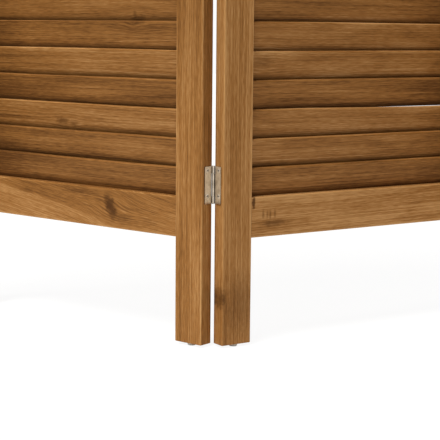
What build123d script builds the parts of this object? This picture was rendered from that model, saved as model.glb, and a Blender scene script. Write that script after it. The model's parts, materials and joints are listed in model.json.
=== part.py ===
from build123d import *
import math
import os

# Folding louvred screen: framed wooden panels, stood in a zigzag and joined by steel butt hinges.
# Each panel is two stiles and three rails, dowelled together, with two banks of slanting slats let
# into slots in the stiles. The stiles run down past the bottom rail as legs, and stand on nail-on
# glides. Each fold has three hinges. Their pins lie on the side that the fold closes to, and the
# folds close to the front and the back in turn, so that the whole screen closes like a concertina.
# Lengths are in millimetres. +Z is up, +X runs from the first panel to the last, and -Y is the
# front. The origin is on the floor, in the middle of the open zigzag.

# The whole screen
panel_count = 4
panel_width = 360.0
panel_height = 1650.0  # from the floor to the top of the stiles
rest_heading = 36.0  # degrees that each panel stands turned from the X axis

# Stiles and rails
stile_width = 35.0
stile_thickness = 16.0
stile_round = 1.0
rail_height = 41.6
rail_setback = 0.4  # of a rail's broad faces behind the stiles'
rail_round = 0.8
leg_length = 109.0  # stile below the bottom rail

# Slats
slats_per_bank = 24
slat_thickness = 4.0
slat_round = 0.8
slat_tilt = 13.0  # degrees from upright, with the top edge to the front
slat_overlap = 1.9  # height that a slat shares with the one above it
slat_planing = 1.2  # planed off under each bank's lowest slat, level with its rail
slat_top_gap = 0.3  # between each bank's highest slat and the rail above it
slot_depth = 5.0
slot_clearance = 0.15
slot_end_gap = 0.3

# Dowels between rails and stiles
dowel_radius = 3.0
dowel_length = 30.0
dowel_inset = 9.8  # from a rail's edge to the dowel's axis
dowel_chamfer = 0.6
dowel_end_gap = 0.5
dowel_side_gap = 0.05

# Glides under the stiles, each with a nail moulded in
glide_radius = 4.3
glide_height = 3.0
glide_round = 0.8
glide_inset = 18.8  # from the panel's edge to the glide's middle
glide_nail_radius = 1.0
glide_nail_length = 14.0
glide_nail_gap = 0.05

# Butt hinges
hinge_height = 38.0
hinge_end_distance = 167.0  # from each end of the panel to the middle of the hinge nearest to it
leaf_thickness = 0.8
leaf_reach = 12.4  # from the pin's axis to the leaf's free edge
leaf_corner = 0.8
end_knuckle = 7.5
knuckle_gap = 0.2
notch_gap = 0.3  # between a knuckle and the notch in the other leaf
pin_radius = 0.65
pin_running_gap = 0.05
pin_head_radius = 1.3
pin_head_height = 0.5
pin_head_round = 0.3
pin_stand_off = 0.2  # from the stile's broad face out to the pin's axis

# Hinge screws
screw_head_radius = 2.4
screw_head_dome = 0.35
screw_shank_radius = 1.3
screw_length = 12.0
screw_point_length = 2.6
screw_point_radius = 0.2
screw_gap = 0.05
screw_edge_inset = 3.9  # from the leaf's free edge to the screw's axis
screw_top_inset = 4.0  # from the leaf's top to the upper screw's axis
screw_foot_inset = 8.0  # from the leaf's foot to the lower screw's axis
recess_width = 0.7
recess_span = 2.6
recess_depth = 0.8

# Sizes that follow from the ones above
opening_width = panel_width - 2 * stile_width
rail_thickness = stile_thickness - 2 * rail_setback
bottom_rail_foot = glide_height + leg_length
top_rail_foot = panel_height - rail_height
bank_height = (top_rail_foot - bottom_rail_foot - 2 * rail_height) / 2
middle_rail_foot = bottom_rail_foot + rail_height + bank_height
rail_feet = {"bottom": bottom_rail_foot, "middle": middle_rail_foot, "top": top_rail_foot}
bank_feet = [bottom_rail_foot + rail_height, middle_rail_foot + rail_height]

slat_spacing = (bank_height - slat_top_gap - slat_overlap + slat_planing) / slats_per_bank
slat_rise = slat_spacing + slat_overlap  # height of a slanting slat from its lowest point to its highest
# The slat's rounded edges are what reaches highest and lowest, so its width follows from their centres.
slant = math.radians(slat_tilt)
slat_core_rise = slat_rise - 2 * slat_round
slat_core_thickness = slat_thickness - 2 * slat_round
slat_width = (slat_core_rise - slat_core_thickness * math.sin(slant)) / math.cos(slant) + 2 * slat_round

hinge_middles = {
    "lower": hinge_end_distance,
    "middle": panel_height / 2,
    "upper": panel_height - hinge_end_distance,
}
barrel_radius = pin_radius + pin_running_gap + leaf_thickness
pin_offset = barrel_radius  # the leaf lies on the stile's edge, so the barrel just reaches that edge too
pin_depth = stile_thickness / 2 + pin_stand_off  # from the panel's middle plane to the pin's axis
notch_reach = barrel_radius + notch_gap
leaf_face = pin_offset - leaf_thickness  # from the pin's axis to the face that the screws' heads are in
screw_heights = [screw_foot_inset - hinge_height / 2, hinge_height / 2 - screw_top_inset]

# The side of the panels that a fold closes to, and the edges of a panel
FRONT, BACK = -1, 1
LEFT, RIGHT = -1, 1

# Folds are lettered from the left, and close to the front and the back in turn.
fold_sides = {chr(ord("a") + n): BACK if n % 2 else FRONT for n in range(panel_count - 1)}

FROM_FOOT = (Align.CENTER, Align.CENTER, Align.MIN)
FROM_TOP = (Align.CENTER, Align.CENTER, Align.MAX)


def edge_x(edge):
    """Where a panel's left or right edge lies along its width."""
    return 0.0 if edge == LEFT else panel_width


def stile_middle_x(edge):
    """Where the middle of the left or right stile lies along the panel's width."""
    return edge_x(edge) - edge * stile_width / 2


def glide_x(edge):
    """Where the middle of the left or right stile's glide lies along the panel's width."""
    return edge_x(edge) - edge * glide_inset


def stile_inner_x(edge):
    """Where the left or right stile's inner edge lies along the panel's width."""
    return edge_x(edge) - edge * stile_width


def slanting_bars(foot, length, clearance=0.0):
    """One bar for each slat of the bank that starts at foot, centred on X = 0, the lowest planed level."""
    outline = RectangleRounded(
        slat_thickness + 2 * clearance, slat_width + 2 * clearance, slat_round + clearance
    )
    bar = Rot(slat_tilt, 0, 0) * extrude(Plane.YZ * outline, length / 2, both=True)
    lowest = foot - slat_planing + slat_rise / 2
    bars = [Pos(0, 0, lowest + n * slat_spacing) * bar for n in range(slats_per_bank)]
    bars[0] -= Pos(0, 0, foot) * Box(length, stile_thickness, slat_width, align=FROM_TOP)
    return bars


def slats():
    """Every slat of one panel, with its ends in the stiles' slots."""
    length = opening_width + 2 * (slot_depth - slot_end_gap)
    return [Pos(panel_width / 2, 0, 0) * bar for foot in bank_feet for bar in slanting_bars(foot, length)]


def dowel_places():
    """The middle of every dowel of one panel: two at each end of each rail, half in the stile."""
    return [
        Pos(stile_inner_x(edge), 0, z) * Rot(0, 90, 0)
        for edge in (LEFT, RIGHT)
        for foot in rail_feet.values()
        for z in (foot + dowel_inset, foot + rail_height - dowel_inset)
    ]


def dowel_holes():
    hole = Cylinder(dowel_radius + dowel_side_gap, dowel_length + 2 * dowel_end_gap)
    return [place * hole for place in dowel_places()]


def dowels():
    """Every dowel of one panel, with chamfered ends."""
    blank = Cylinder(dowel_radius, dowel_length)
    dowel = chamfer(blank.edges().filter_by(GeomType.CIRCLE), dowel_chamfer)
    return [place * dowel for place in dowel_places()]


def stile(edge, fold_side):
    """The stile at a panel's left or right edge. fold_side is None where nothing is hinged to it."""
    length = panel_height - glide_height
    block = Box(stile_width, stile_thickness, length, align=FROM_FOOT)
    body = Pos(stile_middle_x(edge), 0, glide_height) * fillet(block.edges(), stile_round)
    inner_edge = Pos(stile_inner_x(edge), 0, 0)
    slots = [
        inner_edge * bar for foot in bank_feet for bar in slanting_bars(foot, 2 * slot_depth, slot_clearance)
    ]
    nail_hole = Pos(glide_x(edge), 0, glide_height) * glide_nail(glide_nail_gap)
    holes = dowel_holes() + [nail_hole]
    if fold_side is not None:
        holes += on_hinges(leaf_screws(screw_seat()), edge, fold_side)
    return body - slots - holes


def rail(foot):
    """A rail between the stiles, with its long edges eased."""
    block = Box(opening_width, rail_thickness, rail_height, align=FROM_FOOT)
    eased = fillet(block.edges().filter_by(Axis.X), rail_round)
    return Pos(panel_width / 2, 0, foot) * eased - dowel_holes()


def glide_nail(gap=0.0):
    """A glide's nail above the glide, or with a gap, the hole for it."""
    return Cylinder(glide_nail_radius + gap, glide_nail_length + gap, align=FROM_FOOT)


def glides():
    """A round plastic glide under each stile of one panel, with a rounded rim and its nail."""
    disc = Cylinder(glide_radius, glide_height, align=FROM_FOOT)
    rim = disc.edges().filter_by(GeomType.CIRCLE).sort_by(Axis.Z)[0]
    glide = fillet(rim, glide_round) + Pos(0, 0, glide_height) * glide_nail()
    return [Pos(glide_x(edge), 0, 0) * glide for edge in (LEFT, RIGHT)]


def screw():
    """A countersunk hinge screw, point down, with its head's rim at the origin and a cross recess."""
    cone = Cone(screw_shank_radius, screw_head_radius, leaf_thickness, align=FROM_TOP)
    dome_radius = (screw_head_radius**2 + screw_head_dome**2) / (2 * screw_head_dome)
    ball = Pos(0, 0, screw_head_dome - dome_radius) * Sphere(dome_radius)
    dome = ball & Cylinder(screw_head_radius, screw_head_dome, align=FROM_FOOT)
    shank = Cylinder(screw_shank_radius, screw_length - screw_point_length, align=FROM_TOP)
    point = Pos(0, 0, screw_point_length - screw_length) * Cone(
        screw_point_radius, screw_shank_radius, screw_point_length, align=FROM_TOP
    )
    slot = Box(recess_span, recess_width, recess_depth, align=FROM_TOP)
    recess = Pos(0, 0, screw_head_dome) * (slot + Rot(0, 0, 90) * slot)
    return cone + dome + shank + point - recess


def screw_seat():
    """The countersink and pilot hole for a hinge screw."""
    throat = screw_shank_radius + screw_gap
    countersink = Cone(throat, screw_head_radius + screw_gap, leaf_thickness, align=FROM_TOP)
    return countersink + Cylinder(throat, screw_length + screw_gap, align=FROM_TOP)


def leaf_screws(shape):
    """A copy of shape for each screw of a leaf, where the stile lies to +X and the leaf reaches to -Y."""
    middle = screw_edge_inset - leaf_reach
    return [Pos(leaf_face, middle, z) * Rot(0, -90, 0) * shape for z in screw_heights]


def on_hinges(shapes, edge, fold_side, middles=None):
    """Copies of shapes, made about a pin for a left edge that folds to the back, at an edge's hinges."""
    if edge == RIGHT:
        shapes = [mirror(shape, about=Plane.YZ) for shape in shapes]
    if fold_side == FRONT:
        shapes = [mirror(shape, about=Plane.XZ) for shape in shapes]
    if middles is None:
        middles = hinge_middles.values()
    return [pin_place(edge, fold_side) * Pos(0, 0, z) * shape for z in middles for shape in shapes]


def pin_place(edge, fold_side):
    """Where a fold's pin axis stands, in the place of the panel at whose edge it is."""
    return Pos(edge_x(edge) + edge * pin_offset, fold_side * pin_depth, 0)


def leaf(has_end_knuckles):
    """A hinge leaf about its pin, where the stile lies to +X and the leaf reaches to -Y."""
    plate = Box(leaf_thickness, leaf_reach - notch_reach, hinge_height)
    free_corners = plate.edges().filter_by(Axis.X).group_by(Axis.Y)[0]
    middle = leaf_face + leaf_thickness / 2
    plate = Pos(middle, -(leaf_reach + notch_reach) / 2, 0) * fillet(free_corners, leaf_corner)
    neck = Pos(middle, -notch_reach / 2) * Rectangle(leaf_thickness, notch_reach)
    outline = Circle(barrel_radius) + neck - Circle(pin_radius + pin_running_gap)
    top = hinge_height / 2
    seam = top - end_knuckle
    if has_end_knuckles:
        spans = [(-top, -seam - knuckle_gap / 2), (seam + knuckle_gap / 2, top)]
    else:
        spans = [(knuckle_gap / 2 - seam, seam - knuckle_gap / 2)]
    knuckles = [Pos(0, 0, low) * extrude(outline, high - low) for low, high in spans]
    return plate + knuckles - leaf_screws(screw_seat())


def hinge_pin():
    """A hinge's pin, with a rounded head on each end knuckle."""
    disc = Cylinder(pin_head_radius, pin_head_height, align=FROM_FOOT)
    top_edge = disc.edges().filter_by(GeomType.CIRCLE).sort_by(Axis.Z)[-1]
    head = Pos(0, 0, hinge_height / 2) * fillet(top_edge, pin_head_round)
    return Cylinder(pin_radius, hinge_height) + head + mirror(head, about=Plane.XY)


def panel_pieces(left_fold, right_fold):
    """The wooden pieces, glides and hinge screws of one panel, by name, in the panel's own place.

    The panel's left edge is at X = 0, its middle plane at Y = 0 and the floor at Z = 0.
    """
    pieces = {
        "left_stile": stile(LEFT, left_fold),
        "right_stile": stile(RIGHT, right_fold),
    }
    for name, foot in rail_feet.items():
        pieces[name + "_rail"] = rail(foot)
    pieces["slats"] = Compound(slats())
    pieces["rail_dowels"] = Compound(dowels())
    pieces["glides"] = Compound(glides())
    screws = []
    for edge, fold_side in ((LEFT, left_fold), (RIGHT, right_fold)):
        if fold_side is not None:
            screws += on_hinges(leaf_screws(screw()), edge, fold_side)
    pieces["hinge_screws"] = Compound(screws)
    return pieces


def fold_pieces(fold_side):
    """The left panel's leaves and the pins of one fold, in the left panel's place, and the right one's leaves."""
    left = {
        name + "_left_leaf": on_hinges([leaf(True)], RIGHT, fold_side, [z])[0]
        for name, z in hinge_middles.items()
    }
    left["hinge_pins"] = Compound(
        [pin_place(RIGHT, fold_side) * Pos(0, 0, z) * hinge_pin() for z in hinge_middles.values()]
    )
    right = {
        name + "_right_leaf": on_hinges([leaf(False)], LEFT, fold_side, [z])[0]
        for name, z in hinge_middles.items()
    }
    return left, right


def panel_places():
    """Where each panel stands, each turned about the pin of the fold before it."""
    sides = list(fold_sides.values())
    places = [Rot(0, 0, -sides[0] * rest_heading)]
    for side in sides:
        turn = Rot(0, 0, 2 * side * rest_heading)
        places.append(places[-1] * pin_place(RIGHT, side) * turn * pin_place(LEFT, side).inverse())
    return places


places = panel_places()
nodes = {}
around = [None, *fold_sides.values(), None]
for number, place in enumerate(places, start=1):
    for name, piece in panel_pieces(around[number - 1], around[number]).items():
        nodes[f"panel_{number}_{name}"] = place * piece
for number, (letter, side) in enumerate(fold_sides.items(), start=1):
    left_pieces, right_pieces = fold_pieces(side)
    for place, pieces in ((places[number - 1], left_pieces), (places[number], right_pieces)):
        for name, piece in pieces.items():
            nodes[f"fold_{letter}_{name}"] = place * piece

middle = Compound(list(nodes.values())).bounding_box().center()
to_origin = Pos(-middle.X, -middle.Y, 0)

os.makedirs("parts", exist_ok=True)
for name, shape in nodes.items():
    export_step(to_origin * shape, f"parts/{name}.step")

for number, (letter, side) in enumerate(fold_sides.items(), start=1):
    pin = (to_origin * places[number - 1] * pin_place(RIGHT, side)).position
    print(f"fold {letter}: pin axis at X {pin.X:.4f}, Y {pin.Y:.4f}")
for number, place in enumerate(places, start=1):
    foot = (to_origin * place * Pos(glide_x(RIGHT), 0, 0)).position
    print(f"panel {number}: right glide at X {foot.X:.4f}, Y {foot.Y:.4f}")
print(f"slats {slat_width:.3f} wide at {slat_spacing:.3f} spacing, pins {pin_offset:.3f} from the edges")
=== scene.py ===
"""Finishes, slats and stage for a folding screen of louvred wooden panels."""

import json
from math import cos, radians, sin

import bpy
import numpy as np
from mathutils import Euler, Matrix, Vector

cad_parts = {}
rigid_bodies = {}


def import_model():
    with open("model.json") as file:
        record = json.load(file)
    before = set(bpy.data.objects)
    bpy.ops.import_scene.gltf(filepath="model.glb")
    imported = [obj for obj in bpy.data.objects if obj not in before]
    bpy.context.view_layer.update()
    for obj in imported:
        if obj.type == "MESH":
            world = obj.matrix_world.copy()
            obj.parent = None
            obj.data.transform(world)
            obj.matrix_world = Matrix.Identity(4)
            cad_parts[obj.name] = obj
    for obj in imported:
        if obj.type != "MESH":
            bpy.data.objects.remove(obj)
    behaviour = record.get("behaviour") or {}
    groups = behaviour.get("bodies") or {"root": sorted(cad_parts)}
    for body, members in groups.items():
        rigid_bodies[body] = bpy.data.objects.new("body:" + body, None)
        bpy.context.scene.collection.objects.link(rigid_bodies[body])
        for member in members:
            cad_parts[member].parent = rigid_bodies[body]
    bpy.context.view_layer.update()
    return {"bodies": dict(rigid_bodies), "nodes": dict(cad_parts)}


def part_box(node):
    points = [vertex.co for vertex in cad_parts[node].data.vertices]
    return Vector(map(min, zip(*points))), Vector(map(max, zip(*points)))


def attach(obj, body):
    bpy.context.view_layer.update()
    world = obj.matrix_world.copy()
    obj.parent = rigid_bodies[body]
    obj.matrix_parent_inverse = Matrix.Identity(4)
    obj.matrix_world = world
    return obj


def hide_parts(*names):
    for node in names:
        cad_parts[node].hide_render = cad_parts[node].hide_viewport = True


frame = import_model()

bl_info = {
    "name": "Folding Screen",
    "version": (1, 0, 0),
    "blender": (4, 5, 0),
    "location": "View3D > Sidebar > Folding Screen",
    "description": "Fits the slats of a folding screen, finishes its wood and metal, and sets its stage",
    "category": "Object",
}

MM = 0.001
panels = sorted(frame["bodies"])
rails = ("bottom", "middle", "top")

# Further than any piece reaches, in millimetres, for wood that has no sapwood or no rubbed edges
out_of_reach = 999.0
# Seeds of the random choices, so that every run gives the same wood
stile_seed, rail_seed, slat_seed = 11, 12, 13


def linear(code):
    """The linear colour of an sRGB hex code.

    A channel c becomes c / 12.92 up to 0.04045, and ((c + 0.055) / 1.055) to the power 2.4 above it.
    """
    channels = np.array([int(code[n : n + 2], 16) for n in (1, 3, 5)]) / 255
    shades = np.where(channels <= 0.04045, channels / 12.92, ((channels + 0.055) / 1.055) ** 2.4)
    return shades.tolist()


# Sizes and colours that a user would change


def length_property(name, description, default):
    """A length in metres."""
    return bpy.props.FloatProperty(
        name=name, description=description, default=default, min=0.0, precision=4, unit="LENGTH"
    )


def colour_property(name, description, code):
    """A colour, from its sRGB hex code."""
    return bpy.props.FloatVectorProperty(
        name=name, description=description, default=linear(code), size=3, min=0.0, max=1.0, subtype="COLOR"
    )


def share_property(name, description, default):
    """A number from 0 to 1."""
    return bpy.props.FloatProperty(name=name, description=description, default=default, min=0.0, max=1.0)


class SlatSizes(bpy.types.PropertyGroup):
    count: bpy.props.IntProperty(
        name="Slats in a bank", description="Slats between two rails", default=24, min=1
    )
    length: length_property("Length", "Length of a slat with its ends in the stiles' slots", 0.2994)
    thickness: length_property("Thickness", "Thickness of a slat", 0.004)
    edge_round: length_property("Edge round", "Radius of a slat's long edges", 0.0008)
    overlap: length_property("Overlap", "Height that a slat shares with the one above it", 0.0019)
    planing: length_property("Planing", "Height planed off under each bank's lowest slat", 0.0012)
    top_gap: length_property("Top gap", "Gap between a bank's highest slat and the rail above it", 0.0003)
    bow: length_property("Bow", "Most that a slat bends to the front or back between the stiles", 0.0005)
    wander: length_property("Edge wander", "Most that a slat's edges leave a straight line", 0.0003)
    tilt: bpy.props.FloatProperty(
        name="Tilt",
        description="Lean of the slats from upright, with the top edge to the front",
        default=radians(13),
        subtype="ANGLE",
    )


class WoodLook(bpy.types.PropertyGroup):
    light: colour_property("Light grain", "Stained wood where the grain takes least stain", "#c5955d")
    middle: colour_property("Middle grain", "Stained wood between the light and the dark grain", "#9a6832")
    dark: colour_property("Dark grain", "Stained wood where the grain takes most stain", "#603b16")
    knot: colour_property("Knot", "Heart of a knot", "#50300f")
    beech_light: colour_property("Light beech", "Lightest grain of the dowels' bare beech", "#e6c9a0")
    beech_middle: colour_property("Middle beech", "Middle grain of the dowels' bare beech", "#d9b688")
    beech_dark: colour_property("Dark beech", "Darkest grain of the dowels' bare beech", "#b98f60")
    ring_width: length_property("Ring width", "Distance between two year rings", 0.006)
    patches: share_property("Patches", "How much slow patches change the tone", 0.34)
    streaks: share_property("Streaks", "How much long streaks change the tone", 0.44)
    fibres: share_property("Fibres", "How much short fibres change the tone", 0.42)
    rings: share_property("Rings", "How dark the late wood of each year ring is", 0.12)
    pores: share_property("Pores", "How dark the pores are", 0.08)
    wear: share_property("Wear", "How much paler the rubbed edges are", 0.26)


class MetalLook(bpy.types.PropertyGroup):
    nickel: colour_property("Nickel", "Nickel plating of the hinges", "#e2d4c1")
    nickel_dull: colour_property("Dull nickel", "Nickel plating where it has dulled", "#bfb09b")
    roughness: share_property("Roughness", "Roughness of the plating", 0.34)


class NylonLook(bpy.types.PropertyGroup):
    nylon: colour_property("Nylon", "Natural nylon of the glides", "#e4e1d8")
    nylon_worn: colour_property("Worn nylon", "Nylon where the floor has rubbed it", "#c2bdb0")


class StudioLook(bpy.types.PropertyGroup):
    key_strength: bpy.props.FloatProperty(
        name="Key strength",
        description="Light of the lamp high at the front left, in watts on a square metre that faces it",
        default=3.0,
    )
    key_softness: bpy.props.FloatProperty(
        name="Key softness",
        description="Angle that the lamp fills, seen from the screen",
        default=radians(28),
        subtype="ANGLE",
    )
    surround: share_property("Surround", "Strength of the pale surround's light", 0.28)
    paper: colour_property("Floor", "Pale floor", "#f2f1ee")


class FoldingScreen(bpy.types.PropertyGroup):
    slats: bpy.props.PointerProperty(type=SlatSizes, name="Slats", description="Sizes of the slats")
    wood: bpy.props.PointerProperty(type=WoodLook, name="Wood", description="Look of the wood")
    metal: bpy.props.PointerProperty(type=MetalLook, name="Metal", description="Look of the hinges")
    nylon: bpy.props.PointerProperty(type=NylonLook, name="Nylon", description="Look of the glides")
    studio: bpy.props.PointerProperty(type=StudioLook, name="Studio", description="Look of the stage")


# Where the panels stand


def piece_middle(node):
    """The middle of a piece's box. Turning a straight piece about it doesn't move it."""
    low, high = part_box(node)
    return (low + high) / 2


def panel_place(panel):
    """The matrix from a panel's own place to the frame's.

    In its own place the panel's middle is at X = Y = 0. X runs to its right stile, Y to its back, and Z
    up from the floor. The middles of the stiles' boxes give the place and the direction.
    """
    left, right = (piece_middle(f"{panel}_{side}_stile") for side in ("left", "right"))
    up = Vector((0, 0, 1))
    along = (right - left).normalized()
    place = Matrix((along, up.cross(along), up)).transposed().to_4x4()
    middle = (left + right) / 2
    place.translation = Vector((middle.x, middle.y, 0))
    return place


def stile_turn(panel):
    """The turn from the frame to a stile's grain: X up along it, Y along the panel, Z to the back."""
    turn = panel_place(panel).to_3x3()
    return Matrix((turn.col[2], turn.col[0], turn.col[1]))


def rail_turn(panel):
    """The turn from the frame to a rail's or slat's grain: X along the panel, Y up, Z to the front."""
    turn = panel_place(panel).to_3x3()
    return Matrix((turn.col[0], turn.col[2], -turn.col[1]))


def piece_half_size(node, turn):
    """Half of a CAD piece's size along the axes that the turn gives, in millimetres."""
    vertices = frame["nodes"][node].data.vertices
    places = np.empty(3 * len(vertices), np.float32)
    vertices.foreach_get("co", places)
    turned = places.reshape(-1, 3) @ np.array(turn).T
    return (np.ptp(turned, axis=0) / 2 / MM).tolist()


# Nodes

# A Mix node for colours takes its two colours at inputs 6 and 7, and gives the mixed one at output 2.
first_colour, second_colour, mixed_colour = 6, 7, 2


def add_node(tree, kind, *values, named=None, **settings):
    """Adds a node, with settings as its attributes.

    Values go into its inputs in order, and named values into the inputs of those names. An output is
    linked, a node stands for its first output, and anything else is set.
    """
    node = tree.nodes.new(kind)
    for setting, value in settings.items():
        setattr(node, setting, value)
    for key, value in [*enumerate(values), *(named or {}).items()]:
        if isinstance(value, bpy.types.Node):
            value = value.outputs[0]
        if isinstance(value, bpy.types.NodeSocket):
            tree.links.new(value, node.inputs[key])
        else:
            node.inputs[key].default_value = value
    return node


def new_group(name, inputs, outputs):
    """An empty node group, and its input node. Sockets are given as the names of each kind."""
    tree = bpy.data.node_groups.new(name, "ShaderNodeTree")
    for kinds, side in ((inputs, "INPUT"), (outputs, "OUTPUT")):
        for kind, sockets in kinds.items():
            for socket in sockets:
                tree.interface.new_socket(socket, in_out=side, socket_type="NodeSocket" + kind)
    return tree, add_node(tree, "NodeGroupInput")


def new_material(name):
    """A material without nodes, and its node tree."""
    material = bpy.data.materials.new(name)
    material.use_nodes = True
    material.node_tree.nodes.clear()
    return material, material.node_tree


def knot_group():
    """Nodes for one knot or stain, at a centre on the piece, in millimetres.

    The distance from the centre is measured in the knot's own long and short radius, and made uneven by
    a noise about 4 mm across. The heart is 1 in the middle, and falls to 0 between the distances 1 minus
    the softness and 1 plus the softness. The bend made is the bend given, times the millimetres across
    the grain, times exp(-distance squared / 6). Taken off the place across the grain, it makes the grain
    flow round the knot.
    """
    tree, given = new_group(
        "wood_knot",
        {"Vector": ("Place", "Centre", "Radii"), "Float": ("Softness", "Bend")},
        {"Float": ("Heart", "Bend")},
    )
    ragged = add_node(
        tree,
        "ShaderNodeTexNoise",
        given.outputs["Place"],
        named={"Scale": 0.26, "Detail": 3.0, "Roughness": 0.65},
    )
    shift = add_node(
        tree, "ShaderNodeVectorMath", ragged.outputs["Color"], (0.5, 0.5, 0.5), operation="SUBTRACT"
    )
    offset = add_node(
        tree,
        "ShaderNodeVectorMath",
        given.outputs["Place"],
        given.outputs["Centre"],
        operation="SUBTRACT",
    )
    flat = add_node(tree, "ShaderNodeVectorMath", offset, (1, 1, 0), operation="MULTIPLY")
    scaled = add_node(tree, "ShaderNodeVectorMath", flat, given.outputs["Radii"], operation="DIVIDE")
    # Range in which the noise moves the rim, in the knot's radii
    unevenness = (1.5, 1.5, 0.0)
    uneven = add_node(tree, "ShaderNodeVectorMath", shift, unevenness, scaled, operation="MULTIPLY_ADD")
    distance = add_node(tree, "ShaderNodeVectorMath", uneven, operation="LENGTH").outputs["Value"]
    rim = add_node(tree, "ShaderNodeMath", 1.0, given.outputs["Softness"], operation="SUBTRACT")
    far = add_node(tree, "ShaderNodeMath", 1.0, given.outputs["Softness"], operation="ADD")
    heart = add_node(
        tree, "ShaderNodeMapRange", distance, rim, far, 1.0, 0.0, interpolation_type="SMOOTHSTEP"
    )
    smooth = add_node(tree, "ShaderNodeVectorMath", scaled, operation="LENGTH").outputs["Value"]
    square = add_node(tree, "ShaderNodeMath", smooth, smooth, operation="MULTIPLY")
    fade = add_node(tree, "ShaderNodeMath", square, -1 / 6, operation="MULTIPLY")
    near = add_node(tree, "ShaderNodeMath", fade, operation="EXPONENT")
    across = add_node(tree, "ShaderNodeSeparateXYZ", flat)
    push = add_node(tree, "ShaderNodeMath", near, across.outputs["Y"], operation="MULTIPLY")
    bend = add_node(tree, "ShaderNodeMath", push, given.outputs["Bend"], operation="MULTIPLY")
    add_node(tree, "NodeGroupOutput", heart, bend)
    return tree


def wood_group(look):
    """Nodes for wood that is planed, stained and lacquered.

    On Piece is the place on the piece in millimetres: X along the grain, Y across it on the broad face,
    Z through the thickness. In Log is the same place in the log, whose pith is at Y = Z = 0. The tone is
    a sum: slow patches, long streaks and short fibres, each a noise stretched along the grain, less the
    late wood of the year rings, the pores, the knots and painted shade in the grooves between slats, plus
    the rubbed edges and the sapwood. A ring ends where the distance from the pith, made uneven by two
    noises, passes a whole number of ring widths.
    """
    tree, given = new_group(
        "stained_wood",
        {
            "Vector": ("On Piece", "In Log", "Half Size"),
            "Float": ("Tone", "Slope", "Bend", "Heart", "Sapwood", "Groove Shade"),
            "Color": ("Light", "Middle", "Dark", "Knot"),
        },
        {"Color": ("Color",), "Float": ("Roughness", "Height")},
    )
    # The grain runs off the piece's own line by the slope, and flows round the knots by the bend.
    spot = add_node(tree, "ShaderNodeSeparateXYZ", given.outputs["On Piece"])
    log = add_node(tree, "ShaderNodeSeparateXYZ", given.outputs["In Log"])
    lean = add_node(tree, "ShaderNodeMath", spot.outputs["X"], given.outputs["Slope"], operation="MULTIPLY")
    shift = add_node(tree, "ShaderNodeMath", lean, given.outputs["Bend"], operation="ADD")
    across = add_node(tree, "ShaderNodeMath", log.outputs["Y"], shift, operation="ADD")
    grain = add_node(tree, "ShaderNodeCombineXYZ", log.outputs["X"], across, log.outputs["Z"])

    # Length along the grain and width across it in millimetres, and how many finer layers each has
    patterns = {
        "wander": (170.0, 40.0, 1.0),
        "wobble": (60.0, 9.0, 1.0),
        "patches": (150.0, 17.0, 1.0),
        "streaks": (150.0, 0.9, 1.0),
        "fibres": (11.0, 0.58, 1.0),
        "pores": (7.0, 0.6, 0.0),
    }
    noises = {}
    for pattern, (length, width, detail) in patterns.items():
        stretched = add_node(
            tree, "ShaderNodeVectorMath", grain, (1 / length, 1 / width, 1 / width), operation="MULTIPLY"
        )
        noises[pattern] = add_node(
            tree,
            "ShaderNodeTexNoise",
            stretched,
            named={"Scale": 1.0, "Detail": detail, "Roughness": 0.55},
        )

    # Most that the rings leave a circle, slowly and quickly, in millimetres
    slow_wave, quick_wave = 22.0, 3.0
    pith = add_node(tree, "ShaderNodeCombineXYZ", 0.0, across, log.outputs["Z"])
    radius = add_node(tree, "ShaderNodeVectorMath", pith, operation="LENGTH").outputs["Value"]
    waved = add_node(tree, "ShaderNodeMath", noises["wander"], slow_wave, radius, operation="MULTIPLY_ADD")
    wobbled = add_node(
        tree, "ShaderNodeMath", noises["wobble"], quick_wave, waved, operation="MULTIPLY_ADD"
    )
    year = add_node(tree, "ShaderNodeMath", wobbled, look.ring_width / MM, operation="DIVIDE")
    part = add_node(tree, "ShaderNodeMath", year, operation="FRACT")
    # The late wood darkens from 45% of a ring to 86%, and ends at once where the next ring starts.
    late = add_node(tree, "ShaderNodeValToRGB", part)
    for place, shade in ((0.45, 0.0), (0.86, 1.0)):
        stop = late.color_ramp.elements.new(place)
        stop.color = (shade, shade, shade, 1)
    for stop in (late.color_ramp.elements[0], late.color_ramp.elements[-1]):
        stop.color = (0, 0, 0, 1)
    # The pores are the tops of a fine noise.
    pores = add_node(tree, "ShaderNodeMapRange", noises["pores"], 0.60, 0.74, 0.0, 1.0)

    # The rubbed edges: the distances across and through are both within a few millimetres of the limits.
    size = add_node(tree, "ShaderNodeSeparateXYZ", given.outputs["Half Size"])
    edges = []
    for axis, reach in (("Y", 2.6), ("Z", 2.0)):
        side = add_node(tree, "ShaderNodeMath", spot.outputs[axis], operation="ABSOLUTE")
        inside = add_node(tree, "ShaderNodeMath", size.outputs[axis], side, operation="SUBTRACT")
        edges.append(
            add_node(
                tree, "ShaderNodeMapRange", inside, 0.1, reach, 1.0, 0.0, interpolation_type="SMOOTHSTEP"
            )
        )
    edge = add_node(tree, "ShaderNodeMath", *edges, operation="MULTIPLY")
    rubbed = add_node(tree, "ShaderNodeMath", edge, noises["patches"], operation="MULTIPLY")

    # Sapwood is the side of the log's outer wood, a little lighter, with a soft border.
    sapwood_lift, border_wave = 0.2, 5.0
    border = add_node(tree, "ShaderNodeMath", spot.outputs["Y"], shift, operation="ADD")
    wavy = add_node(
        tree, "ShaderNodeMath", noises["wobble"], border_wave, border, operation="MULTIPLY_ADD"
    )
    beyond = add_node(tree, "ShaderNodeMath", given.outputs["Sapwood"], wavy, operation="SUBTRACT")
    sapwood = add_node(
        tree, "ShaderNodeMapRange", beyond, -1.5, 1.5, 0.0, sapwood_lift, interpolation_type="SMOOTHSTEP"
    )

    # How much knots darken the tone, and how much painted shade darkens it in the grooves between slats
    knot_depth, painted_groove_shade = 0.35, 0.22
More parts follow.
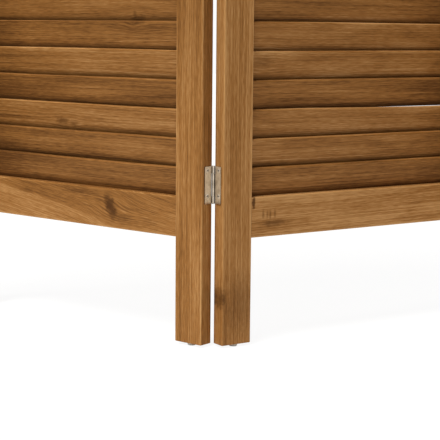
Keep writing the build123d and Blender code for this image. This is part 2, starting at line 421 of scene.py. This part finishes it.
    # The patches, streaks and fibres are noises about 0.5, and leave the mean tone as it is.
    start = 0.5 - look.patches - look.streaks - look.fibres
    tone = add_node(tree, "ShaderNodeMath", given.outputs["Tone"], start, operation="ADD")
    for part_of_tone, weight in (
        (noises["patches"], look.patches * 2),
        (noises["streaks"], look.streaks * 2),
        (noises["fibres"], look.fibres * 2),
        (late, -look.rings),
        (pores, -look.pores),
        (rubbed, look.wear * 2),
        (sapwood, 1.0),
        (given.outputs["Heart"], -knot_depth),
        (given.outputs["Groove Shade"], -painted_groove_shade),
    ):
        tone = add_node(tree, "ShaderNodeMath", part_of_tone, weight, tone, operation="MULTIPLY_ADD")

    lower = add_node(tree, "ShaderNodeMapRange", tone, 0.0, 0.5, 0.0, 1.0)
    upper = add_node(tree, "ShaderNodeMapRange", tone, 0.5, 1.0, 0.0, 1.0)
    colour = given.outputs["Dark"]
    for share, towards in ((lower, "Middle"), (upper, "Light"), (given.outputs["Heart"], "Knot")):
        colour = add_node(
            tree,
            "ShaderNodeMix",
            share,
            named={first_colour: colour, second_colour: given.outputs[towards]},
            data_type="RGBA",
        ).outputs[mixed_colour]
    # Dark grain is the more open and the rougher.
    roughness = add_node(tree, "ShaderNodeMapRange", tone, 0.0, 1.0, 0.62, 0.44)
    height = add_node(tree, "ShaderNodeMath", noises["fibres"], pores, operation="SUBTRACT")
    # Painted shade in the grooves between slats also takes their colour down to 58%.
    groove_shade_share = add_node(tree, "ShaderNodeMapRange", given.outputs["Groove Shade"], 0.0, 1.0, 1.0, 0.58)
    groove_shaded_colour = add_node(tree, "ShaderNodeVectorMath", colour, operation="SCALE", named={"Scale": groove_shade_share})
    add_node(tree, "NodeGroupOutput", groove_shaded_colour, roughness, height)
    return tree


def kept_group(name, make, *values):
    """The node group of that name, made the first time it is asked for."""
    return bpy.data.node_groups.get(name) or make(*values)


def wood_material(
    name,
    look,
    on_piece,
    in_log,
    half_size,
    tone,
    slope=0.0,
    sapwood=-out_of_reach,
    groove_shade=None,
    knots=(),
    knot_place=None,
    colours=None,
):
    """Paulownia, planed, stained honey brown and given a satin lacquer.

    It looks warm and open-grained: fine straight streaks, soft patches of tone and a low, broken gloss.
    on_piece and in_log are functions that add the nodes for the group's two places, in millimetres. So
    are the function for the painted shade in the slats' grooves and knot_place where they are given, and
    the tone is such a function or a number. Each knot is its place along and across and its long and short
    radius, in millimetres, and three shares: how dark it is, how soft its rim is and how much it bends the
    grain.
    """
    material, tree = new_material(name)
    light, middle, dark = colours or (look.light, look.middle, look.dark)
    place = on_piece(tree)
    around = knot_place(tree) if knot_place else place
    bend, heart = 0.0, 0.0
    for along, across, long_radius, short_radius, darkness, softness, flow in knots:
        knot = add_node(
            tree,
            "ShaderNodeGroup",
            around,
            (along, across, 0),
            (long_radius, short_radius, 1),
            softness,
            flow,
            node_tree=kept_group("wood_knot", knot_group),
        )
        bend = add_node(tree, "ShaderNodeMath", bend, knot.outputs["Bend"], operation="SUBTRACT")
        shade = add_node(tree, "ShaderNodeMath", knot.outputs["Heart"], darkness, operation="MULTIPLY")
        heart = add_node(tree, "ShaderNodeMath", shade, heart, operation="MAXIMUM")
    wood = add_node(
        tree,
        "ShaderNodeGroup",
        named={
            "On Piece": place,
            "In Log": in_log(tree, place),
            "Half Size": half_size,
            "Tone": tone(tree) if callable(tone) else tone,
            "Slope": slope,
            "Bend": bend,
            "Heart": heart,
            "Sapwood": sapwood,
            # Painted shade in the slats' grooves, or none
            "Groove Shade": groove_shade(tree) if groove_shade else 0.0,
            "Light": (*light, 1),
            "Middle": (*middle, 1),
            "Dark": (*dark, 1),
            "Knot": (*look.knot, 1),
        },
        node_tree=kept_group("stained_wood", wood_group, look),
    )
    grain = add_node(
        tree,
        "ShaderNodeBump",
        named={"Strength": 0.35, "Distance": 0.15 * MM, "Height": wood.outputs["Height"]},
    )
    shader = add_node(
        tree,
        "ShaderNodeBsdfPrincipled",
        named={
            "Base Color": wood.outputs["Color"],
            "Roughness": wood.outputs["Roughness"],
            "Specular IOR Level": 0.15,
            "Normal": grain,
        },
    )
    add_node(tree, "ShaderNodeOutputMaterial", shader)
    return material


def from_object(rotation, middle, cut):
    """Two functions that add the places of a CAD piece's wood, for wood_material.

    The first turns Object coordinates, which are the frame's, by rotation, with middle as their centre,
    in millimetres. The second moves that place to where the piece was cut from the log.
    """

    def on_piece(tree):
        coordinates = add_node(tree, "ShaderNodeTexCoord")
        return add_node(
            tree,
            "ShaderNodeMapping",
            coordinates.outputs["Object"],
            -(rotation @ middle) / MM,
            rotation.to_euler(),
            (1 / MM, 1 / MM, 1 / MM),
        )

    def in_log(tree, place):
        return add_node(tree, "ShaderNodeVectorMath", place, cut, operation="ADD")

    return on_piece, in_log


def finish_node(node, material):
    """Gives every slot of a CAD piece that material."""
    for slot in frame["nodes"][node].material_slots:
        slot.material = material


# Stiles and rails

# Knots, on the pieces beside the middle fold
stile_knots = {
    # A broad, slightly darker stretch above the lowest hinge
    "panel_2_right_stile": [(-495.0, 0.0, 62.0, 30.0, 0.14, 0.9, 0.0)],
    # A dark patch and spot near the foot
    "panel_3_left_stile": [
        (-781.0, 5.0, 25.0, 16.0, 0.34, 0.9, 0.0),
        (-775.0, -21.5, 9.0, 6.0, 0.9, 0.9, 0.0),
    ],
}
rail_knots = {
    # A leaning knot with soft dark curls on both sides, and grain that flows round it
    "panel_2_bottom_rail": [
        (48.5, 10.0, 4.0, 4.5, 0.5, 0.7, 0.0),
        (52.5, 4.0, 5.5, 7.0, 0.84, 0.6, 0.0),
        (57.0, -4.0, 5.0, 6.0, 0.66, 0.7, 0.0),
        (56.0, 3.0, 16.0, 9.0, 0.0, 0.9, 0.75),
        (72.0, -8.0, 12.0, 2.4, 0.28, 0.9, 0.0),
        (84.0, 2.0, 13.0, 1.8, 0.2, 0.9, 0.0),
        (108.0, -8.5, 10.0, 2.6, 0.18, 0.9, 0.0),
        (2.0, 14.0, 15.0, 2.2, 0.26, 0.9, 0.0),
        (-78.0, 9.5, 9.0, 2.6, 0.26, 0.9, 0.0),
    ],
    # Short dark marks with a stain below them, and a chipped corner at the stile
    "panel_3_bottom_rail": [
        (-116.0, -6.8, 14.0, 2.8, 0.46, 0.9, 0.2),
        (-124.0, -7.5, 5.0, 2.6, 0.5, 0.9, 0.0),
        (-130.6, 2.8, 1.3, 3.8, 0.4, 0.8, 0.0),
        (-125.4, 2.2, 1.2, 3.2, 0.34, 0.8, 0.0),
        (-121.8, 1.2, 1.1, 4.4, 0.42, 0.8, 0.0),
        (-116.0, 2.4, 1.3, 3.6, 0.38, 0.8, 0.0),
        (-142.6, 15.5, 1.8, 6.5, 0.85, 0.5, 0.0),
    ],
}
# How much lighter than the middle grain a piece is, where that isn't left to the seed
stile_tones = {"panel_2_right_stile": 0.03, "panel_3_left_stile": 0.15}
rail_tones = {"panel_2_bottom_rail": -0.01, "panel_3_bottom_rail": 0.2}
# How steeply the grain falls along a rail, where that isn't left to the seed
rail_slopes = {"panel_2_bottom_rail": 0.15}
# How far above a rail's middle its sapwood reaches, in millimetres
rail_sapwood = {"panel_2_bottom_rail": -2.0}


class SCREEN_OT_stain_stiles(bpy.types.Operator):
    """Stain the stiles, with straight grain running up them"""

    bl_idname = "folding_screen.stain_stiles"
    bl_label = "Stain Stiles"

    def execute(self, context):
        look = context.scene.folding_screen.wood
        random = np.random.default_rng(stile_seed)
        for panel in panels:
            turn = stile_turn(panel)
            for side in ("left", "right"):
                node = f"{panel}_{side}_stile"
                # Quarter-sawn, so cut beside the pith, 80 to 140 mm from it
                cut = Vector((random.uniform(0, 4000), random.uniform(80, 140), random.uniform(-8, 8)))
                tone = random.uniform(-0.04, 0.04)
                material = wood_material(
                    f"planed_stained_paulownia_{node}",
                    look,
                    *from_object(turn, piece_middle(node), cut),
                    half_size=piece_half_size(node, turn),
                    tone=stile_tones.get(node, tone),
                    knots=stile_knots.get(node, ()),
                )
                finish_node(node, material)
        return {"FINISHED"}


class SCREEN_OT_stain_rails(bpy.types.Operator):
    """Stain the rails, with plain-sawn grain running along them"""

    bl_idname = "folding_screen.stain_rails"
    bl_label = "Stain Rails"

    def execute(self, context):
        look = context.scene.folding_screen.wood
        random = np.random.default_rng(rail_seed)
        for panel in panels:
            turn = rail_turn(panel)
            for rail in rails:
                node = f"{panel}_{rail}_rail"
                # Plain-sawn, so cut above the pith, 16 to 38 mm from it
                cut = Vector((random.uniform(0, 4000), random.uniform(-14, 14), random.uniform(16, 38)))
                tone, slope = random.uniform(-0.04, 0.04), random.uniform(-0.02, 0.02)
                material = wood_material(
                    f"planed_stained_paulownia_{node}",
                    look,
                    *from_object(turn, piece_middle(node), cut),
                    half_size=piece_half_size(node, turn),
                    tone=rail_tones.get(node, tone),
                    slope=rail_slopes.get(node, slope),
                    sapwood=rail_sapwood.get(node, -out_of_reach),
                    knots=rail_knots.get(node, ()),
                )
                finish_node(node, material)
        return {"FINISHED"}


# Slats

# Where a slat's upper edge dips: the shares of its length at which that starts and is full, and the depth
slat_dips = {"panel_3": {2: (0.18, 0.7, 1.8 * MM)}}
# How much lighter the stain is on some of the slats beside the middle fold, counted from the floor
slat_tones = {
    "panel_2": {0: -0.16, 1: -0.04, 2: 0.12, 3: -0.22, 4: 0.16, 5: -0.12},
    "panel_3": {0: 0.0, 1: 0.18, 2: 0.08, 3: 0.0, 4: 0.08, 5: 0.15},
}
# Knots on the slats, placed in millimetres right of the panel's middle and above the floor
slat_knots = {
    "panel_2": [
        (86.0, 331.0, 9.0, 4.0, 0.5, 0.9, 0.6),
        (82.0, 334.0, 2.5, 5.0, 0.45, 0.8, 0.2),
        (-23.9, 222.0, 8.0, 3.4, 0.5, 0.9, 0.6),
        (-8.0, 220.0, 6.0, 3.0, 0.36, 0.9, 0.4),
    ],
    "panel_3": [(-131.0, 292.0, 12.0, 6.0, 0.25, 0.9, 0.4)],
}
# Seeded knots on the slats of each panel: how many, how far to the sides they reach, and how high they are
seeded_knots, seeded_reach, seeded_heights = 4, 135, (420, 1600)


def rounded_outline(width, thickness, radius):
    """Points and outward normals round a rectangle with rounded corners, as arrays of (across, through).

    Each corner is a quarter circle about a centre that lies the radius inside both sides, with three
    points at 0, 45 and 90 degrees further than the corner before it.
    """
    angles = (np.arange(4)[:, None] * 90 + np.array([0, 45, 90])[None]).ravel() * np.pi / 180
    normals = np.stack([np.cos(angles), np.sin(angles)], axis=1)
    corner = np.repeat([[1, 1], [-1, 1], [-1, -1], [1, -1]], 3, axis=0)
    centre = corner * (np.array([width, thickness]) / 2 - radius)
    return centre + radius * normals, normals


def slat_surfaces(slats, bank_feet, spacing, width, random, dips):
    """Points, normals and places on the slat of all slats of a panel, in the panel's own place.

    A slat is the rounded outline carried along its length. At the share u of the length, the outline
    is moved to the front or back by bow sin(pi u), its upper and lower edges are moved by wander
    sin(pi u) and wander sin(2 pi u), and it leans by the tilt: across c and through t become
    Y = t cos(tilt) - c sin(tilt) and Z = t sin(tilt) + c cos(tilt). A dip lowers one slat's upper edge
    towards its right end by a smooth step. The lowest slat of a bank is planed level with its rail.
    """
    outline, outline_normals = rounded_outline(width, slats.thickness, slats.edge_round)
    count = slats.count * len(bank_feet)
    share = np.linspace(0, 1, 5)[None, :, None]
    across = outline[:, 0][None, None] + np.zeros((count, share.size, 1))
    through = outline[:, 1][None, None] + np.zeros((count, share.size, 1))
    along = (share - 0.5) * slats.length + np.zeros_like(across)
    on_slat = np.stack([along, across, through], axis=-1) / MM

    arch, wave = np.sin(np.pi * share), np.sin(2 * np.pi * share)
    bows, arches, waves = (random.uniform(-1, 1, count)[:, None, None] for _ in range(3))
    across = across + slats.wander * (arches * arch + waves * wave)
    for slat, (start, end, depth) in dips.items():
        step = np.clip((share[0] - start) / (end - start), 0, 1)
        upper = np.clip(across[slat] / width + 0.5, 0, 1)
        across[slat] -= depth * upper * step * step * (3 - 2 * step)
    through = through + slats.bow * bows * arch

    lean = np.array([cos(slats.tilt), sin(slats.tilt)])
    middles = (np.array(bank_feet)[:, None] + spacing * np.arange(slats.count)[None]).ravel()
    back = through * lean[0] - across * lean[1]
    up = through * lean[1] + across * lean[0] + middles[:, None, None]
    points = np.stack([along, back, up], axis=-1)
    normals = np.stack(
        [
            np.zeros(len(outline)),
            outline_normals[:, 1] * lean[0] - outline_normals[:, 0] * lean[1],
            outline_normals[:, 1] * lean[1] + outline_normals[:, 0] * lean[0],
        ],
        axis=-1,
    )
    return points, np.broadcast_to(normals, points.shape), on_slat


class SCREEN_OT_fit_slats(bpy.types.Operator):
    """Fit each panel's slats between the stiles, and stain them"""

    bl_idname = "folding_screen.fit_slats"
    bl_label = "Fit Slats"

    def execute(self, context):
        slats = context.scene.folding_screen.slats
        look = context.scene.folding_screen.wood
        random = np.random.default_rng(slat_seed)
        for panel in panels:
            rail_boxes = [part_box(f"{panel}_{rail}_rail") for rail in rails]
            feet = [low_rail[1].z for low_rail in rail_boxes[:2]]
            bank_height = rail_boxes[1][0].z - feet[0]
            spacing = (bank_height - slats.top_gap - slats.overlap + slats.planing) / slats.count
            rise = spacing + slats.overlap
            # The rounded edges reach highest and lowest, so the width follows from their centres.
            core_rise = rise - 2 * slats.edge_round
            core_thickness = slats.thickness - 2 * slats.edge_round
            width = (core_rise - core_thickness * sin(slats.tilt)) / cos(slats.tilt) + 2 * slats.edge_round
            lowest = [foot - slats.planing + rise / 2 for foot in feet]
            dips = slat_dips.get(panel, {})
            points, normals, on_slat = slat_surfaces(slats, lowest, spacing, width, random, dips)
            for bank, foot in enumerate(feet):
                planed = points[bank * slats.count, ..., 2]
                np.maximum(planed, foot, out=planed)
            self.add_slats(panel, look, points, normals, on_slat, width, random)
        return {"FINISHED"}

    def add_slats(self, panel, look, points, normals, on_slat, width, random):
        """Makes one mesh of all the slats of a panel.

        Quads join each ring of the outline to the next, and the first and last ring are closed by a face.
        """
        count, rings, corners = points.shape[:3]
        index = np.arange(count * rings * corners).reshape(count, rings, corners)
        onward = np.roll(index, -1, axis=2)
        quads = np.stack([index[:, :-1], index[:, 1:], onward[:, 1:], onward[:, :-1]], axis=-1)
        quads = quads.reshape(-1, 4)
        left_ends, right_ends = index[:, 0], index[:, -1, ::-1]

        place = np.array(panel_place(panel))
        turn, middle = place[:3, :3], place[:3, 3]
        vertices = points.reshape(-1, 3) @ turn.T + middle
        vertex_normals = normals.reshape(-1, 3) @ turn.T

        mesh = bpy.data.meshes.new(f"{panel}_louvre")
        mesh.from_pydata(vertices.tolist(), [], quads.tolist() + left_ends.tolist() + right_ends.tolist())
        mesh.polygons.foreach_set("use_smooth", np.ones(len(mesh.polygons), bool))
        along = turn @ np.array([1.0, 0, 0])
        end_normals = [np.tile(side * along, (count * corners, 1)) for side in (-1, 1)]
        corner_normals = np.concatenate([vertex_normals[quads.ravel()], *end_normals])
        mesh.normals_split_custom_set(corner_normals.tolist())

        # Plain-sawn, so cut above the pith, 14 to 40 mm from it
        limits = ((0, 9000), (-26, 26), (14, 40))
        cuts = np.stack([random.uniform(low, high, count) for low, high in limits], axis=-1)
        # Painted shade deepens towards the fold at the back, over 100 mm that start 50 mm past the middle.
        shade_start, shade_length, deepest_shade = 50, 100, 0.3
        inward = on_slat[..., 0] * (1 if panel in ("panel_1", "panel_3") else -1)
        painted_fold_shade = np.clip((inward - shade_start) / shade_length, 0, 1)
        tones_and_fold_shade = random.uniform(-0.12, 0.04, count)
        for slat, lighter in slat_tones.get(panel, {}).items():
            tones_and_fold_shade[slat] += lighter
        # Each slat's own stain tone, less the painted shade towards the back fold
        tones_and_fold_shade = tones_and_fold_shade[:, None, None] - deepest_shade * painted_fold_shade * painted_fold_shade
        in_log = on_slat + cuts[:, None, None]
        for name, values in (("on_slat", on_slat), ("in_log", in_log)):
            attribute = mesh.attributes.new(name, "FLOAT_VECTOR", "POINT")
            attribute.data.foreach_set("vector", values.astype(np.float32).ravel())
        attribute = mesh.attributes.new("tone", "FLOAT", "POINT")
        attribute.data.foreach_set("value", tones_and_fold_shade.astype(np.float32).ravel())
        mesh.validate()

        louvre = bpy.data.objects.new(f"{panel}_louvre", mesh)
        bpy.context.scene.collection.objects.link(louvre)
        mesh.materials.append(self.slat_material(panel, look, width, random))
        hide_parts(f"{panel}_slats")
        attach(louvre, panel)

    def slat_material(self, panel, look, width, random):
        """The stiles' and rails' wood, read from the slats' own attributes.

        Painted shade darkens the groove, the part of a face that lies behind the neighbouring slat's edge:
        the foot of the front face and the top of the back one. Its distance is half the width plus across
        times -through / half the thickness. Knots have places on the panel, so each is on one slat.
        """
        slats = bpy.context.scene.folding_screen.slats
        half_length, half_width, half_thickness = (
            size / 2 / MM for size in (slats.length, width, slats.thickness)
        )
        knot_place, _ = from_object(rail_turn(panel), panel_place(panel).translation, Vector())
        knots = list(slat_knots.get(panel, ()))
        for _ in range(seeded_knots):
            along, height = random.uniform(-seeded_reach, seeded_reach), random.uniform(*seeded_heights)
            size = random.uniform(2.0, 4.0)
            knots.append((along, height, size * 1.8, size, 0.32, 0.8, 0.7))

        def on_piece(tree):
            return add_node(tree, "ShaderNodeAttribute", attribute_name="on_slat").outputs["Vector"]

        def in_log(tree, place):
            return add_node(tree, "ShaderNodeAttribute", attribute_name="in_log").outputs["Vector"]

        def tone(tree):
            return add_node(tree, "ShaderNodeAttribute", attribute_name="tone").outputs["Fac"]

        # Where painted shade darkens each slat's face behind its neighbour's edge
        def groove_shade(tree):
            spot = add_node(tree, "ShaderNodeSeparateXYZ", on_piece(tree))
            facing = add_node(
                tree, "ShaderNodeMath", spot.outputs["Z"], -1 / half_thickness, operation="MULTIPLY"
            )
            depth = add_node(
                tree, "ShaderNodeMath", spot.outputs["Y"], facing, half_width, operation="MULTIPLY_ADD"
            )
            # The painted shade in the groove is full up to 1.2 mm from the edge, and gone 9.5 mm from it.
            return add_node(
                tree, "ShaderNodeMapRange", depth, 1.2, 9.5, 1.0, 0.0, interpolation_type="SMOOTHSTEP"
            )

        # The long edges are rubbed less than the frame's, so the wood counts as 1 mm wider there.
        return wood_material(
            f"planed_stained_paulownia_{panel}_slats",
            look,
            on_piece,
            in_log,
            half_size=(half_length, half_width + 1.0, half_thickness),
            tone=tone,
            groove_shade=groove_shade,
            knots=knots,
            knot_place=knot_place,
        )


class SCREEN_OT_finish_dowels(bpy.types.Operator):
    """Finish the dowels of the rails in bare beech"""

    bl_idname = "folding_screen.finish_dowels"
    bl_label = "Finish Dowels"

    def execute(self, context):
        look = context.scene.folding_screen.wood
        # Beech, turned and left bare: pale, even and dry. It is cut 60 mm beside the pith and 20 above it.
        cut = Vector((0, 60, 20))
        for panel in panels:
            node = f"{panel}_rail_dowels"
            material = wood_material(
                f"turned_beech_{node}",
                look,
                *from_object(rail_turn(panel), piece_middle(node), cut),
                half_size=(out_of_reach, out_of_reach, out_of_reach),
                tone=0.0,
                colours=(look.beech_light, look.beech_middle, look.beech_dark),
            )
            finish_node(node, material)
        return {"FINISHED"}


def nickel_material(name, look, gloss):
    """Pressed steel, plated with satin nickel.

    It looks warm grey and softly mirrored, with faint dull patches and fine lines from the rolling. The
    gloss makes it brighter and less rough, and polishes its dull patches away.
    """
    material, tree = new_material(name)
    coordinates = add_node(tree, "ShaderNodeTexCoord")
    bright = [shade + (1 - shade) * gloss for shade in look.nickel]
    # Dull patches are about 6 mm across.
    patches = add_node(
        tree,
        "ShaderNodeTexNoise",
        coordinates.outputs["Object"],
        named={"Scale": 170.0, "Detail": 3.0, "Roughness": 0.6},
    )
    dull = add_node(tree, "ShaderNodeMapRange", patches.outputs["Fac"], 0.35, 0.7, 0.0, 1.0 - gloss)
    colour = add_node(
        tree,
        "ShaderNodeMix",
        dull,
        named={first_colour: (*bright, 1), second_colour: (*look.nickel_dull, 1)},
        data_type="RGBA",
    ).outputs[mixed_colour]
    # Painted shade darkens the creases beside the barrel and round the screws' heads, where the occlusion
    # within 4 mm is deepest.
    crease_occlusion = add_node(tree, "ShaderNodeAmbientOcclusion", colour, 0.004, samples=8, only_local=False)
    painted_crease_shade = add_node(tree, "ShaderNodeMapRange", crease_occlusion.outputs["AO"], 0.45, 0.92, 0.12, 1.06)
    crease_shaded_plating = add_node(tree, "ShaderNodeVectorMath", colour, operation="SCALE", named={"Scale": painted_crease_shade})
    # Rolled lines run up the leaf, 0.3 mm apart, which is as fine as shows.
    stretched = add_node(
        tree, "ShaderNodeMapping", coordinates.outputs["Object"], named={"Scale": (3300.0, 3300.0, 60.0)}
    )
    lines = add_node(tree, "ShaderNodeTexNoise", stretched, named={"Scale": 1.0, "Detail": 2.0})
    roughness = add_node(
        tree,
        "ShaderNodeMapRange",
        lines.outputs["Fac"],
        0.3,
        0.7,
        (look.roughness - 0.06) * (1 - gloss),
        (look.roughness + 0.08) * (1 - gloss),
    )
    relief = add_node(
        tree,
        "ShaderNodeBump",
        named={"Strength": 0.2, "Distance": 0.02 * MM, "Height": lines.outputs["Fac"]},
    )
    shader = add_node(
        tree,
        "ShaderNodeBsdfPrincipled",
        named={"Base Color": crease_shaded_plating, "Metallic": 1.0, "Roughness": roughness, "Normal": relief},
    )
    add_node(tree, "ShaderNodeOutputMaterial", shader)
    return material


class SCREEN_OT_plate_hinges(bpy.types.Operator):
    """Plate the hinges' leaves, pins and screws with satin nickel"""

    bl_idname = "folding_screen.plate_hinges"
    bl_label = "Plate Hinges"

    def execute(self, context):
        look = context.scene.folding_screen.metal
        fittings = {
            "satin_nickel_plated_steel": (0.0, ("_leaf", "_hinge_pins")),
            "bright_nickel_plated_steel": (0.45, ("_hinge_screws",)),
        }
        for name, (gloss, endings) in fittings.items():
            nodes = [node for node in frame["nodes"] if node.endswith(endings)]
            if not nodes:
                raise RuntimeError(f"the frame has no pieces to plate with {name}")
            material = nickel_material(name, look, gloss)
            for node in nodes:
                finish_node(node, material)
        return {"FINISHED"}


class SCREEN_OT_mould_glides(bpy.types.Operator):
    """Finish the glides in moulded nylon"""

    bl_idname = "folding_screen.mould_glides"
    bl_label = "Mould Glides"

    def execute(self, context):
        look = context.scene.folding_screen.nylon
        material, tree = new_material("moulded_natural_nylon")
        # Nylon, injection moulded: milky, with a soft shine that the floor has rubbed dull in places.
        coordinates = add_node(tree, "ShaderNodeTexCoord")
        scuffs = add_node(
            tree,
            "ShaderNodeTexNoise",
            coordinates.outputs["Object"],
            named={"Scale": 420.0, "Detail": 3.0, "Roughness": 0.65},
        )
        worn = add_node(tree, "ShaderNodeMapRange", scuffs.outputs["Fac"], 0.45, 0.7, 0.0, 1.0)
        colour = add_node(
            tree,
            "ShaderNodeMix",
            worn,
            named={first_colour: (*look.nylon, 1), second_colour: (*look.nylon_worn, 1)},
            data_type="RGBA",
        ).outputs[mixed_colour]
        roughness = add_node(tree, "ShaderNodeMapRange", scuffs.outputs["Fac"], 0.3, 0.7, 0.35, 0.6)
        shader = add_node(
            tree,
            "ShaderNodeBsdfPrincipled",
            named={"Base Color": colour, "Roughness": roughness, "IOR": 1.53},
        )
        add_node(tree, "ShaderNodeOutputMaterial", shader)
        for panel in panels:
            finish_node(f"{panel}_glides", material)
        return {"FINISHED"}


# Stage


def seen_directly(tree):
    """1 for a ray that shows the background itself: from the camera, a mirror or glass."""
    path = add_node(tree, "ShaderNodeLightPath")
    total = 0.0
    for kind in ("Is Camera Ray", "Is Glossy Ray", "Is Transmission Ray"):
        total = add_node(
            tree, "ShaderNodeMath", path.outputs[kind], total, operation="ADD", use_clamp=True
        )
    return total


class SCREEN_OT_set_stage(bpy.types.Operator):
    """Set the pale floor, the soft lamp and the camera"""

    bl_idname = "folding_screen.set_stage"
    bl_label = "Set Stage"

    def execute(self, context):
        look = context.scene.folding_screen.studio
        self.lay_floor(look)
        self.light_surround(context.scene, look)
        self.hang_lamp(context.scene, look)
        self.stand_camera(context.scene)
        context.scene.view_settings.view_transform = "Standard"
        return {"FINISHED"}

    def lay_floor(self, look):
        """A flat pale floor, 16 m wide, just under the glides. It keeps a faint shadow on white."""
        mesh = bpy.data.meshes.new("floor")
        reach, under = 8.0, -0.05 * MM
        corners = [(reach * x, reach * y, under) for x, y in ((-1, -1), (1, -1), (1, 1), (-1, 1))]
        mesh.from_pydata(corners, [], [(0, 1, 2, 3)])
        floor = bpy.data.objects.new("floor", mesh)
        bpy.context.scene.collection.objects.link(floor)
        # Matt paint, which shows no gloss. Seen directly it is nearly white by itself, and a small share of
        # the light on it adds the rest, so that a shadow stays faintly visible.
        material, tree = new_material("matt_painted_floor")
        own_white, lit_share = 0.92, 0.16
        matt = add_node(tree, "ShaderNodeBsdfDiffuse", (*look.paper, 1))
        glow = add_node(tree, "ShaderNodeEmission", (1, 1, 1, 1), own_white)
        shaded = add_node(tree, "ShaderNodeBsdfDiffuse", (*(lit_share * shade for shade in look.paper), 1))
        shown = add_node(tree, "ShaderNodeAddShader", glow, shaded)
        direct = seen_directly(tree)
        surface = add_node(tree, "ShaderNodeMixShader", direct, matt, shown)
        add_node(tree, "ShaderNodeOutputMaterial", surface)
        mesh.materials.append(material)

    def light_surround(self, scene, look):
        """An even pale surround, seen as white."""
        scene.world = bpy.data.worlds.new("pale_surround")
        scene.world.use_nodes = True
        tree = scene.world.node_tree
        tree.nodes.clear()
        light = add_node(tree, "ShaderNodeBackground", (1, 1, 1, 1), look.surround)
        white = add_node(tree, "ShaderNodeBackground", (1, 1, 1, 1), 1.0)
        direct = seen_directly(tree)
        surface = add_node(tree, "ShaderNodeMixShader", direct, light, white)
        add_node(tree, "ShaderNodeOutputWorld", surface)

    def hang_lamp(self, scene, look):
        """One wide soft lamp, high at the front left. It is far off, so the whole screen is lit alike."""
        data = bpy.data.lights.new("key_lamp", "SUN")
        data.energy, data.angle = look.key_strength, look.key_softness
        lamp = bpy.data.objects.new("key_lamp", data)
        # Degrees above the floor, and left of the front
        rise, left = 61, 38
        turn = Euler((radians(90 - rise), 0, radians(-left)))
        lamp.rotation_euler = turn
        # Where a sun lamp hangs doesn't change its light, so it only has to be clear of the screen.
        lamp.location = turn.to_matrix() @ Vector((0, 0, 6))
        scene.collection.objects.link(lamp)

    def stand_camera(self, scene):
        """The camera at the photograph's angle: low, near the middle fold and looking slightly down."""
        data = bpy.data.cameras.new("camera")
        data.sensor_width, data.lens = 36.0, 109.6
        data.clip_start, data.clip_end = 0.05, 50.0
        camera = bpy.data.objects.new("camera", data)
        # Degrees that the camera is turned to the left, dips below level and leans to the left
        heading, dip, lean = 2.996, 8.174, 0.526
        place = Matrix.Translation((0.0773, -1.4419, 0.3242))
        for degrees, axis in ((heading, "Z"), (90 - dip, "X"), (lean, "Z")):
            place = place @ Matrix.Rotation(radians(degrees), 4, axis)
        camera.matrix_world = place
        scene.collection.objects.link(camera)
        scene.camera = camera


class SCREEN_PT_maker(bpy.types.Panel):
    """Lists the steps that finish the screen, and their sizes and colours"""

    bl_idname = "SCREEN_PT_maker"
    bl_label = "Folding Screen"
    bl_space_type = "VIEW_3D"
    bl_region_type = "UI"
    bl_category = "Folding Screen"

    def draw(self, context):
        settings = context.scene.folding_screen
        for step in steps:
            self.layout.operator(step.bl_idname)
        for name in ("slats", "wood", "metal", "nylon", "studio"):
            box = self.layout.box()
            box.label(text=name.capitalize())
            group = getattr(settings, name)
            for entry in group.bl_rna.properties:
                if entry.identifier not in ("rna_type", "name"):
                    box.prop(group, entry.identifier)


steps = (
    SCREEN_OT_stain_stiles,
    SCREEN_OT_stain_rails,
    SCREEN_OT_fit_slats,
    SCREEN_OT_finish_dowels,
    SCREEN_OT_plate_hinges,
    SCREEN_OT_mould_glides,
    SCREEN_OT_set_stage,
)
classes = (SlatSizes, WoodLook, MetalLook, NylonLook, StudioLook, FoldingScreen, *steps, SCREEN_PT_maker)


def register():
    for kind in classes:
        bpy.utils.register_class(kind)
    bpy.types.Scene.folding_screen = bpy.props.PointerProperty(type=FoldingScreen)


def unregister():
    del bpy.types.Scene.folding_screen
    for kind in reversed(classes):
        bpy.utils.unregister_class(kind)


def main():
    """Runs every step in order."""
    register()
    for step in steps:
        space, name = step.bl_idname.split(".")
        getattr(getattr(bpy.ops, space), name)()


if __name__ == "__main__":
    main()
